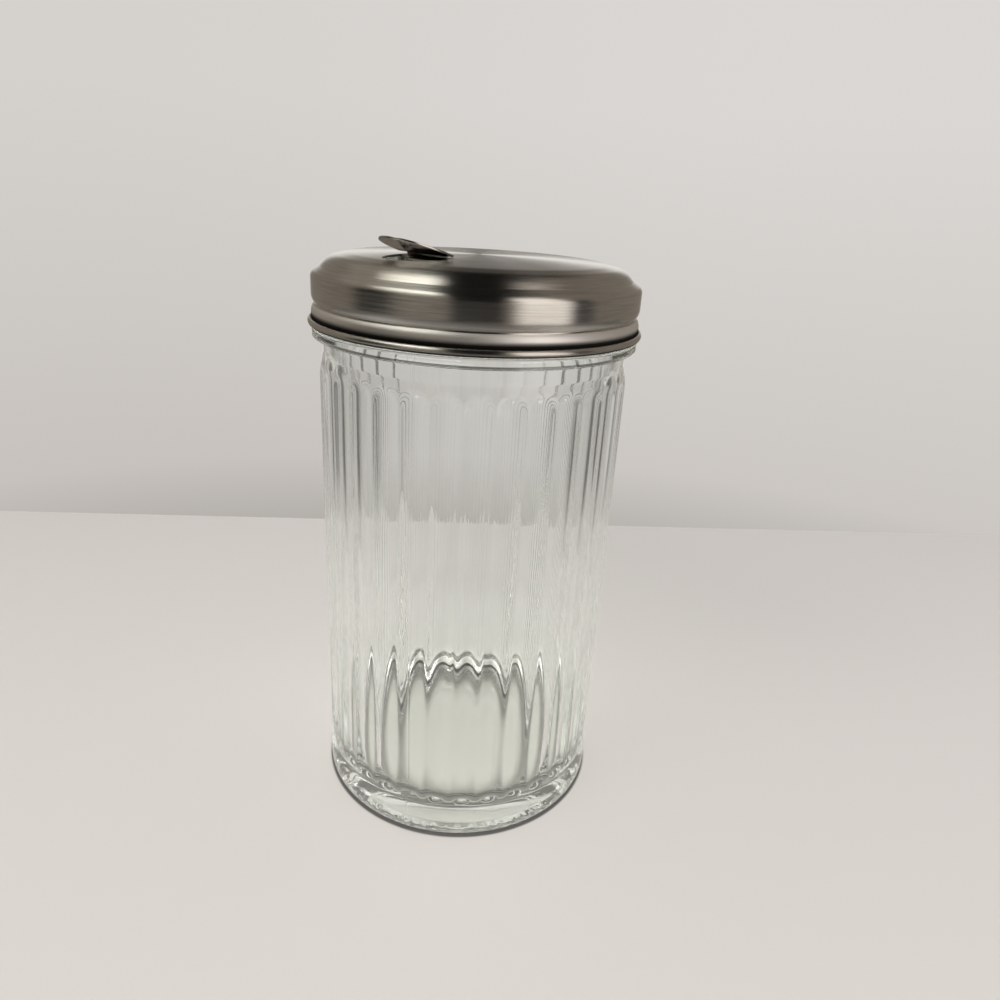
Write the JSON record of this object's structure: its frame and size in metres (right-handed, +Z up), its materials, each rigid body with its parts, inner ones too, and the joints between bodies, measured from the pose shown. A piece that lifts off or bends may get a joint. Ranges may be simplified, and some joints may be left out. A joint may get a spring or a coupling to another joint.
{
  "type": "sugar dispenser",
  "caption": "Fluted clear glass sugar jar with a stamped steel lid, a hinged flap over its pour hole and a small vent hole in the lid's shoulder.",
  "frame": {"origin": "centre of the jar's foot, on the table", "axes": "+Z up along the jar's axis; the flap's tip points to 230 degrees, counted from +X towards +Y; -Y is the side towards the viewer"},
  "size_m": [0.076, 0.076, 0.139],
  "materials": {
    "jar_glass": "clear pressed glass, faint grey-green in the thick foot",
    "lid_steel": "stainless, brushed round the axis, half bright",
    "pin_steel": "drawn stainless wire",
    "flap_steel": "stainless, brushed above, bright below"
  },
  "bodies": {
    "jar": {"glass_jar": "jar_glass"},
    "lid": {"lid_shell": "lid_steel", "hinge_pin": "pin_steel"},
    "flap": {"pour_flap": "flap_steel"}
  },
  "joints": [
    {"name": "lid_lift", "type": "slide", "parent": "jar", "child": "lid", "axis": [0, 0, 1], "range_m": [0, 0.04]},
    {"name": "flap_hinge", "type": "hinge", "parent": "lid", "child": "flap", "pos_m": [-0.01048, -0.01249, 0.13365], "axis": [-0.766, 0.6428, 0], "range_deg": [-18, 60]}
  ]
}
